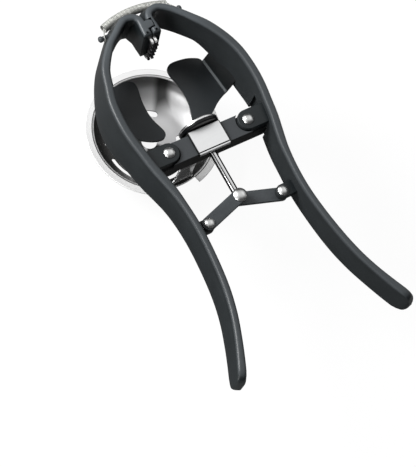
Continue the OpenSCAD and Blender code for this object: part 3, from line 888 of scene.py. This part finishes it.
def soften_corners(piece):
    """Round the sharp edges of the arm's wall, each as far as its roundness says."""
    pick_up(piece)
    tidy_skin()
    mesh = bmesh.from_edit_mesh(piece.data)
    mesh.normal_update()
    soft = mesh.edges.layers.float.new("bevel_weight_edge")
    for edge in mesh.edges:
        if corner(edge, 40):
            edge[soft] = roundness(edge) / ROUND_LIP
    bmesh.update_edit_mesh(piece.data)
    apply_step(piece, "BEVEL", limit_method="WEIGHT", width=ROUND_LIP * MM, segments=5,
               use_clamp_overlap=False)


def end_share(left, reach):
    """Share of the full width or height at this distance from the handle's tip."""
    return max(0.15, math.sqrt(1 - max(0.0, 1 - max(0.0, left) / reach) ** 2))


def shape_grip(piece, set_in, deeper):
    """Draw the handle's end in to a full round; set the grip in and make it deeper behind GRIP_Y."""
    pick_up(piece)
    mesh = bmesh.from_edit_mesh(piece.data)
    for vert in mesh.verts:
        place = vert.co / MM
        share = ease(place.y, *GRIP_Y)
        above = place.z - END_Z
        if above < 0:
            above *= 1 + deeper * share / END_Z
        if place.y < -HANDLE + 2 * END_TOP:
            left = (grip_tip - place.xy).dot(grip_way)
            aside = (place.xy - grip_mid).dot(grip_aside)
            vert.co.xy += grip_aside * aside * (end_share(left, END_ROUND) - 1) * MM
            above *= end_share(left, END_TOP if above > 0 else END_BELOW)
        vert.co.x -= set_in * share * MM
        vert.co.z = (END_Z + above) * MM
    bmesh.update_edit_mesh(piece.data)
    tidy_skin()
    put_down()


def lug(name, x, y, r, reach, z0, z1):
    """A flat round-ended lug that runs out from x, y to the wall."""
    plan = arc(x, y, r, 90, 270, 18) + [(reach, y - r), (reach, y + r)]
    return round_edges(flat_plate(name, plan, z0, z1), 0.45, 3, 60)


def make_arm(name, link_low, link_high, shoulder=0.0, set_in=0.0, deeper=0.0):
    """The right arm with its pivot lug, its link lug and its cut-outs."""
    recess_back, recess_front, recess_in, recess_out, recess_low = -9, 12.2, 1.8, 1.5, -14
    arm = arm_skin(name, shoulder)
    thicken_inward(arm)
    soften_corners(arm)
    shape_grip(arm, set_in, deeper)
    recess = [i for i in range(len(arm_line)) if recess_back < arm_line[i].y < recess_front]
    deep = [off_wall(i, arm_line[i].z - recess_in) for i in recess]
    clear = [off_wall(i, arm_line[i].z + recess_out) for i in recess]
    cut_away(arm, flat_plate("recess_tool", deep + clear[::-1], recess_low, LUG_LOW))
    weld_on(arm, lug("pivot_lug", PIVOT_X, 0, r=5.6, reach=38.4, z0=LUG_LOW, z1=13.8))
    weld_on(arm, lug("link_lug", PIN_X, PIN_Y, r=LINK_ROUND, reach=31.9, z0=link_low, z1=link_high))
    cut_away(arm, drill("pivot_hole", PIVOT_X, 0, PIVOT_HOLE))
    cut_away(arm, drill("link_hole", PIN_X, PIN_Y, PIN_HOLE))
    cut_away(arm, block("blade_slot", *BLADE_SLOT))
    return arm


right_arm = make_arm("right_arm_casting", link_low=5.8, link_high=9.8, deeper=2.2)
cut_away(right_arm, block("tab_seat", *TAB_SEAT))
left_blank = make_arm("left_arm_blank", link_low=4.0, link_high=8.0, shoulder=1.5, set_in=1.1)
left_arm = other_side(left_blank, "left_arm_casting")
bpy.data.objects.remove(left_blank)
tab_plan = [(-2.4, 66.3), (-1.2, 66.3), (2.7, 66.9), (2.9, 70.2), (1.2, 71.1), (-2.4, 71.1)]
weld_on(left_arm, round_edges(flat_plate("nose_tab", tab_plan, TAB_LOW, TAB_HIGH), 0.35, 2, 40))
for arm, word in ((right_arm, "right"), (left_arm, "left")):
    finish(smooth_skin(arm), "slate_casting", word + "_lever", word + "_arm")

# Toothed blades


def make_blade(name):
    """A flat blade with a row of teeth along its free edge."""
    inner_x, thick, low, high, teeth = 0.35, 1.5, -5.0, 13.5, 5
    seat_y, root_y, tip_low_y, tip_high_y = 66.4, 60.2, 57.5, 57.4
    pitch = (high - low) / teeth
    side_view = [(seat_y, low)]
    for k in range(teeth):
        side_view += [(root_y, low + pitch * k), (tip_low_y, low + pitch * (k + 0.42)),
                      (tip_high_y, low + pitch * (k + 0.58))]
    side_view += [(root_y, high), (seat_y, high)]
    blade = cut_plate(name, [(inner_x, y, z) for y, z in side_view], (thick, 0, 0))
    return smooth_skin(round_edges(blade, 0.25, 2, 20))


finish_pair(make_blade("right_blade"), "blade", "dark_blade", "tooth_blade")

# Cradle wings


def make_wing(name):
    """A bent-in sheet: flat tongue, a rounded bend and a skirt that leans out into the wall."""
    lean, skirt, bend, thick = math.radians(20), 13.0, 1.1, 1.8
    plan = eased([
        WING_FRONT, (29.4, 52.2), (24.5, 54.4), (20, 55.3), (15.2, 55.6), (12.2, 54.9), (10.4, 53.1),
        (10, 50.2), (10.5, 47.2), (11.4, 43), (11.9, 38), (11.9, 33.5), (11.1, 28.5), (9.4, 23.5),
        (8.9, 20.6), (9.8, 18.4), (12.4, 17.4), (17, 18.4), (22, 21.1), (26.5, 24.4), (30.4, 26.6),
        WING_BACK], 3)
    wing = draw_line(name, [(*p, WING_Z) for p in plan])
    take_all()
    bpy.ops.mesh.edge_face_add()
    bpy.ops.mesh.select_mode(type="EDGE")
    let_go()
    front, back = Vector((*WING_FRONT, WING_Z)), Vector((*WING_BACK, WING_Z))
    choose_edges(wing, lambda e: (middle(e) - (front + back) / 2).length < 0.1)
    way = (front - back).normalized()
    out = Vector((way.y, -way.x, 0))
    rise = (out * math.sin(lean) + Vector((0, 0, math.cos(lean)))) * skirt
    bpy.ops.mesh.extrude_edges_move(TRANSFORM_OT_translate={"value": rise * MM})
    let_go()
    choose_edges(wing, lambda e: len(e.link_faces) == 2)
    bpy.ops.mesh.bevel(offset=bend * MM, segments=4, affect="EDGES")
    tidy_skin()
    apply_step(wing, "SOLIDIFY", thickness=thick * MM, offset=0, use_even_offset=True)
    return smooth_skin(round_edges(wing, 0.55, 3, 50))


finish_pair(make_wing("right_wing"), "wing", "black_sheet", "cradle_wing")

# Crossbar and saddle

LAP_Z, LAP_R, LAP_FAR, LAP_WIDE = 7.6, 6.4, 64, 20
ROD_BORE, TAIL_SEAT, TAIL_SEAT_Z = 2.0, 3.4, 1.6
SLOT_HALF, SLOT_GAP, SLOT_TOP = 5.4, 0.1, 3.7
NOTCH_HALF, NOTCH_TOP, GROOVE_HALF = 2.6, 9.0, 0.3

bar = block("crossbar_casting", (-BAR_HALF, BAR_BACK, 0), (BAR_HALF, BAR_FRONT, BAR_TOP))
for side in (-1, 1):
    lap = drill("lap_tool", side * PIVOT_X, 0, LAP_R, z0=LAP_Z, sides=64)
    near, far = sorted((side * PIVOT_X, side * LAP_FAR))
    weld_on(lap, block("lap_end", (near, -LAP_WIDE, LAP_Z), (far, LAP_WIDE, ABOVE)))
    cut_away(bar, lap)
round_edges(bar, 0.45, 3, 60)
for side in (-1, 1):
    cut_away(bar, drill("pin_hole", side * PIVOT_X, 0, PIVOT_HOLE))
    cut_away(bar, drill("tail_seat", side * PIVOT_X, 0, TAIL_SEAT, z1=TAIL_SEAT_Z))
cut_away(bar, rod_way("rod_bore", ROD_BORE, -20, 20))
cut_away(bar, block("strap_slot", (-SLOT_HALF, STRAP_Y - SLOT_GAP, -2),
                    (SLOT_HALF, STRAP_Y + STRAP_THICK + SLOT_GAP, SLOT_TOP)))
finish(smooth_skin(bar), "black_casting", "frame", "crossbar", paint=bar_light_and_shade)

saddle_top, lip_low, front_low = BAR_TOP + SADDLE_THICK, 11.2, 4.0
lip_back, saddle_front = BAR_BACK - SADDLE_THICK, BAR_FRONT + SADDLE_THICK
saddle_side = [
    (lip_back, lip_low), (BAR_BACK, lip_low), (BAR_BACK, BAR_TOP), (BAR_FRONT, BAR_TOP),
    (BAR_FRONT, front_low), (saddle_front, front_low), (saddle_front, saddle_top), (lip_back, saddle_top)]
saddle = cut_plate("saddle_sheet", [(-SADDLE_HALF, y, z) for y, z in saddle_side], (2 * SADDLE_HALF, 0, 0))


def saddle_bend(edge):
    """True on the saddle's long edges, along its top and along its front foot."""
    x, _, z = middle(edge)
    return abs(x) < SADDLE_HALF - 0.7 and (z > saddle_top - 0.2 or z < front_low + 0.1)


round_edges(saddle, 0.5, 3, 60, saddle_bend)
cut_away(saddle, block("rod_notch", (-NOTCH_HALF, 4, 0), (NOTCH_HALF, 8, NOTCH_TOP)))
cut_away(saddle, block("lip_groove", (-12, LIP_GROOVE_Y - GROOVE_HALF, 12.6),
                       (12, LIP_GROOVE_Y + GROOVE_HALF, 14)))
finish(smooth_skin(saddle), "bright_sheet", "frame", "guide_saddle", paint=saddle_sheet)

# Rivets and pegs

HEAD = (3.05, 1.8)


def make_rivet(name, x, y, pin_r, low, high, head, tail):
    """A turned rivet: flat tail with a broken edge, pin, and a domed head with a small foot.

    head and tail are each a radius and a height; low and high are where the pin meets them.
    """
    (head_r, head_h), (tail_r, tail_h) = head, tail
    tail_edge, head_edge, foot = 0.3, 0.15, 0.4
    dome = head_h - foot
    big = (head_r ** 2 + dome ** 2) / (2 * dome)
    lean = math.degrees(math.asin(min(1, head_r / big)))
    outline = [(0, low - tail_h), (tail_r - tail_edge, low - tail_h), (tail_r, low - tail_h + tail_edge),
               (tail_r, low), (pin_r, low), (pin_r, high), (head_r - head_edge, high),
               (head_r, high + head_edge), (head_r, high + foot)]
    outline += arc(0, high + head_h - big, big, 90 - lean, 90, 12)[1:]
    piece = turn_on_lathe(name, [(x + r, y, z) for r, z in outline], (x, y, 0), (0, 0, 1), 48)
    return smooth_skin(piece, 40)


for side, word in SIDES:
    pin = make_rivet(word + "_pivot_pin", side * PIVOT_X, 0, 2.0, 1.4, 13.85, HEAD, (3.1, 1.1))
    finish(pin, "polished_steel", "frame", word + "_pivot_rivet", paint=satin)
for side, word, low, high in ((-1, "left", 3.95, 10.55), (1, "right", 3.25, 9.85)):
    pin = make_rivet(word + "_link_pin", side * PIN_X, PIN_Y, 1.5, low, high, HEAD, (2.5, 1.2))
    finish(pin, "polished_steel", word + "_lever", word + "_link_rivet", paint=satin)
pin = make_rivet("centre_pin", 0, CENTRE_Y, 1.7, 3.25, 10.55, (3.8, 2.1), (3.0, 1.2))
finish(pin, "polished_steel", "pusher", "centre_rivet", paint=satin)

cap_x, cap_r, cap_h = 6.8, 1.7, 1.2
peg_line = [(-2.4, 0), (-2.4, 1.3), (5.7, 1.3), (6.0, 1.62), (6.2, cap_r), (cap_x, cap_r)]
for turn in range(10, 91, 10):
    peg_line.append((cap_x + cap_h * math.sin(math.radians(turn)), cap_r * math.cos(math.radians(turn))))
right_peg = turn_on_lathe("right_peg", [(PEG_X + x, PEG_Y, PEG_Z + r) for x, r in peg_line],
                          (PEG_X, PEG_Y, PEG_Z), (1, 0, 0), 32)
finish_pair(smooth_skin(right_peg, 40), "peg", "black_casting", "spring_peg")

# Links, rod and pusher

LINK_RISE = CENTRE_Y - PIN_Y
LINK_LEN, LINK_SWING = math.hypot(PIN_X, LINK_RISE), math.atan2(LINK_RISE, PIN_X)
EYE_Z, EYE_NECK, EYE_HOLE = 5.8, 1.8, 1.72
ROD_BACK, ROD_FRONT = -31.0, 8.0
PUSHER_Y, SOCKET_R = 6.8, 1.97


def make_link(name, x, z, angle):
    """A flat link with round ends, two holes and softly broken edges."""
    plan = arc(0, 0, LINK_ROUND, 98, 262, 14) + arc(LINK_LEN, 0, LINK_ROUND, -82, 82, 14)
    piece = round_edges(flat_plate(name, plan, 0, LINK_THICK), 0.35, 3, 60)
    cut_away(piece, drill("outer_hole", 0, 0, PIN_HOLE))
    cut_away(piece, drill("inner_hole", LINK_LEN, 0, LINK_EYE))
    piece.data.transform(Matrix.Translation(Vector((x, PIN_Y, z)) * MM) @ Matrix.Rotation(angle, 4, "Z"))
    return smooth_skin(piece)


left_link = make_link("left_toggle_link", -PIN_X, 8.3, LINK_SWING)
right_link = make_link("right_toggle_link", PIN_X, 3.3, math.pi - LINK_SWING)
finish(left_link, "black_casting", "left_toggle", "left_link")
finish(right_link, "black_casting", "right_toggle", "right_link")

rod_line = [(0, ROD_BACK), (ROD_R - 0.2, ROD_BACK), (ROD_R, ROD_BACK + 0.4), (ROD_R, ROD_FRONT - 0.3),
            (ROD_R - 0.3, ROD_FRONT), (0, ROD_FRONT)]
rod = turn_on_lathe("rod_bar", [(r, y, ROD_Z) for r, y in rod_line], (0, 0, ROD_Z), (0, 1, 0), 48)
eye_plan = arc(0, CENTRE_Y, LINK_ROUND, 118, 422, 24) + [(EYE_NECK, -30.2), (-EYE_NECK, -30.2)]
weld_on(rod, round_edges(flat_plate("rod_eye", eye_plan, EYE_Z, EYE_Z + LINK_THICK), 0.3, 2, 60))
cut_away(rod, drill("eye_hole", 0, CENTRE_Y, EYE_HOLE))
finish(smooth_skin(rod), "polished_steel", "pusher", "push_rod")

disc_line = [
    (0, 0), (10.3, 0), (10.9, 0.16), (11.25, 0.6), (11.3, 1.2), (11.3, 2.5), (11.15, 3.0), (10.8, 3.3),
    (10.0, 3.3), (9.0, 3.05), (7.5, 2.6), (5.65, 2.2), (3, 1.9), (0, 1.8)]
pusher = turn_on_lathe("pusher_face", [(r, PUSHER_Y + y, ROD_Z) for r, y in disc_line],
                       (0, 0, ROD_Z), (0, 1, 0), 72)
cut_away(pusher, rod_way("rod_socket", SOCKET_R, 5.05, 8.05))
finish(smooth_skin(pusher, 25), "polished_steel", "pusher", "pusher_disc", paint=pusher_dark_back)

# Spring


def make_spring_half(name, side):
    """Half of the close-wound spring, from the middle out to its hook on the peg."""
    curls, steps, reach, wire_r = 29, 14, 19.2, 0.3
    curl_r, bow_r, bow_front, z = 2.2, 52.0, 83.3, 6.4
    hook_x, hook_r = PEG_X + 4.8, 2
    sweep = math.asin(reach / bow_r)
    line = []
    for i in range(curls * steps + 1):
        s = sweep * i / (curls * steps)
        a = math.radians(90) + side * 2 * math.pi * i / steps
        out = bow_r + curl_r * math.cos(a)
        y = bow_front - bow_r + math.cos(s) * out
        line.append(Vector((side * math.sin(s) * out, y, z + curl_r * math.sin(a))))
    hook = [Vector((side * hook_x, *p)) for p in arc(PEG_Y, PEG_Z, hook_r, 90, 270, 6)]
    tail = eased([line[-3], line[-1], (line[-1] + hook[0]) / 2, *hook], 3)
    hold(draw_line(name, line + tail[4:]))
    bpy.ops.object.convert(target="CURVE")
    curve = bpy.context.object
    curve.data.dimensions = "3D"
    curve.data.bevel_depth = wire_r * MM
    curve.data.bevel_resolution = 1
    curve.data.use_fill_caps = True
    bpy.ops.object.convert(target="MESH")
    piece = name_it(name)
    pick_up(piece)
    tidy_skin()
    return smooth_skin(piece, 60)


for side, word in SIDES:
    half = make_spring_half(word + "_spring_half", side)
    finish(half, "spring_wire", None, "front_spring")
    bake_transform(half)

# Separator

DISH_THICK = 0.9
SLOT_LOW, WALL_SLOT_TOP, FLOOR_SLOT_TOP = -68, -55, -60
NOTCH_NEAR, NOTCH_FAR, NOTCH_SLANT = 32.65, 45, math.tan(math.radians(13.6))


def arc_slot(name, r0, r1, mid, half, z1):
    """A curved slot with round ends, as a tool to cut with."""
    mean, end_r = (r0 + r1) / 2, (r1 - r0) / 2
    start, end = mid - half, mid + half

    def round_end(turn, first):
        """The round end that stands at one turn about the dish's middle."""
        x, y = arc(0, SEP_Y, mean, turn, turn, 1)[0]
        return arc(x, y, end_r, first, first + 180, 8)[1:-1]

    plan = arc(0, SEP_Y, r1, start, end, 14) + round_end(end, end)
    plan += arc(0, SEP_Y, r0, end, start, 14) + round_end(start, start + 180)
    return flat_plate(name, plan, SLOT_LOW, z1)


# Half a cut through the dish as radius and height, once round the sheet.
rim = [
    (38.3, 0), (37.6, 0.05), (35.2, 0.05), (34.7, 0.12), (34.2, 0.08), (33.8, -0.12), (33.52, -0.45),
    (33.4, -0.9)]
inside = eased([
    (33.35, -2.2), (33.1, -4.0), (31.4, -7.3), (27.4, -10.9), (22.4, -13.2), (17.9, -14), (12, -14),
    (4.5, -14)], 4)
outside = []
for i, p in enumerate(inside):
    way = (inside[min(len(inside) - 1, i + 1)] - inside[max(0, i - 1)]).normalized()
    outside.append((p.x - way.y * DISH_THICK, p.y + way.x * DISH_THICK))
rolled = [
    (38.55, -0.2), (38.6, -0.45), (38.5, -0.75), (38.2, -0.9), (35.2, -0.9), (34.6, -1.15), (34.35, -1.6)]
dish_line = inside[::-1] + rim[::-1] + rolled + outside + inside[-1:]
bowl = turn_on_lathe("separator_dish", [(r, SEP_Y, SEP_Z + z) for r, z in dish_line],
                     (0, SEP_Y, 0), (0, 0, 1), 120)
notch_plan = [(share * NOTCH_SLANT, SEP_Y - abs(share))
              for share in (-NOTCH_NEAR, NOTCH_NEAR, NOTCH_FAR, -NOTCH_FAR)]
cut_away(bowl, flat_plate("rim_notch", notch_plan, -54.4, -48.4))
for mid in (146, 202, 270, 338):
    cut_away(bowl, arc_slot("wall_slot", 23.5, 25.9, mid, 16, WALL_SLOT_TOP))
for mid in (62, 152, 242, 332):
    cut_away(bowl, arc_slot("floor_slot", 15.7, 19.3, mid, 11, FLOOR_SLOT_TOP))
finish(smooth_skin(bowl, 30), "bright_sheet", "separator", "separator_bowl", paint=dish_steel)

strap_edge = [(7, -54.8), (7, -50.8), (5.9, -47.8), (5.4, -44.5), (STRAP_HALF, -40.8), (STRAP_HALF, 3.4)]
strap_edge += [(-x, z) for x, z in strap_edge[::-1]]
strap = cut_plate("separator_strap", [(x, STRAP_Y, z) for x, z in strap_edge], (0, STRAP_THICK, 0))
round_edges(strap, 0.25, 2, 60)
finish(smooth_skin(strap), "bright_sheet", "separator", "separator_hanger")

# Floor

FLOOR_SIZE, FLOOR_Z, FLOOR_GLOW = 6, -0.0735, 0.9
SHADE_MIDDLE, SHADE_NEAR, SHADE_FAR = (0.05, -0.03, 0), 0.085, 0.38

put_down()
bpy.ops.mesh.primitive_plane_add(size=FLOOR_SIZE, location=(0, 0, FLOOR_Z))
floor = name_it("pale_floor")
pale = bpy.data.materials.new("pale_floor")
tree = clean_tree(pale)
matt = new_node(tree, "BsdfDiffuse")
glow = new_node(tree, "Emission")
glow.inputs["Strength"].default_value = 1.0
ray = new_node(tree, "LightPath").outputs
join(tint(ray["Is Camera Ray"], grey(0.08), grey(0.9)), matt.inputs["Color"])
# White to the camera and, clear of the shade under and beside the tool, in what metal mirrors.
out_from = new_node(tree, "VectorMath")
out_from.operation = "DISTANCE"
out_from.inputs[1].default_value = SHADE_MIDDLE
join(new_node(tree, "TexCoord").outputs["Object"], out_from.inputs[0])
clear = fade(out_from.outputs["Value"], SHADE_NEAR, SHADE_FAR)
mirrored = times(larger(ray["Is Glossy Ray"], ray["Is Transmission Ray"]), clear)
mix = new_node(tree, "MixShader")
join(times(larger(ray["Is Camera Ray"], mirrored), FLOOR_GLOW), mix.inputs[0])
join(matt.outputs[0], mix.inputs[1])
join(glow.outputs[0], mix.inputs[2])
join(mix.outputs[0], new_node(tree, "OutputMaterial").inputs["Surface"])
floor.data.materials.append(pale)

# Light

# Soft panels in a dark room, overhead, left, behind, right and in front: way, cosines of edge and core,
# level.
PANELS = [
    ((0.30, 0.20, 0.93), 0.55, 0.95, 1.05), ((-0.80, -0.04, 0.60), 0.70, 0.93, 0.85),
    ((0.10, -0.72, 0.69), 0.78, 0.95, 0.06), ((0.90, 0.05, 0.42), 0.75, 0.95, 0.6),
    ((-0.41, 0.82, 0.40), 0.86, 0.97, 1.0)]
ROOM_LEVEL = 0.04

sky = bpy.data.worlds.new("studio")
bpy.context.scene.world = sky
tree = clean_tree(sky)
back = new_node(tree, "Background")
way = new_node(tree, "TexCoord").outputs["Generated"]
level = ROOM_LEVEL
for aim, edge, core, strength in PANELS:
    towards = new_node(tree, "VectorMath")
    towards.operation = "DOT_PRODUCT"
    towards.inputs[1].default_value = Vector(aim).normalized()
    join(way, towards.inputs[0])
    level = plus(fade(towards.outputs["Value"], edge, core, strength), level)
seen = new_node(tree, "LightPath").outputs["Is Camera Ray"]
join(between(seen, level, 1.0), back.inputs["Strength"])
join(back.outputs[0], new_node(tree, "OutputWorld").inputs["Surface"])


def soft_lamp(name, place, size, power):
    """A square soft lamp that looks at the tool's origin."""
    data = bpy.data.lights.new(name, "AREA")
    data.size = size
    data.energy = power
    lamp = bpy.data.objects.new(name, data)
    bpy.context.scene.collection.objects.link(lamp)
    lamp.location = place
    lamp.rotation_euler = (-Vector(place)).to_track_quat("-Z", "Y").to_euler()


soft_lamp("key_softbox", (-0.68, 0.60, 0.68), size=0.5, power=18)
soft_lamp("edge_light", (-0.92, -0.32, 0.32), size=0.35, power=4)

bpy.context.scene.view_settings.view_transform = "Standard"
put_down()
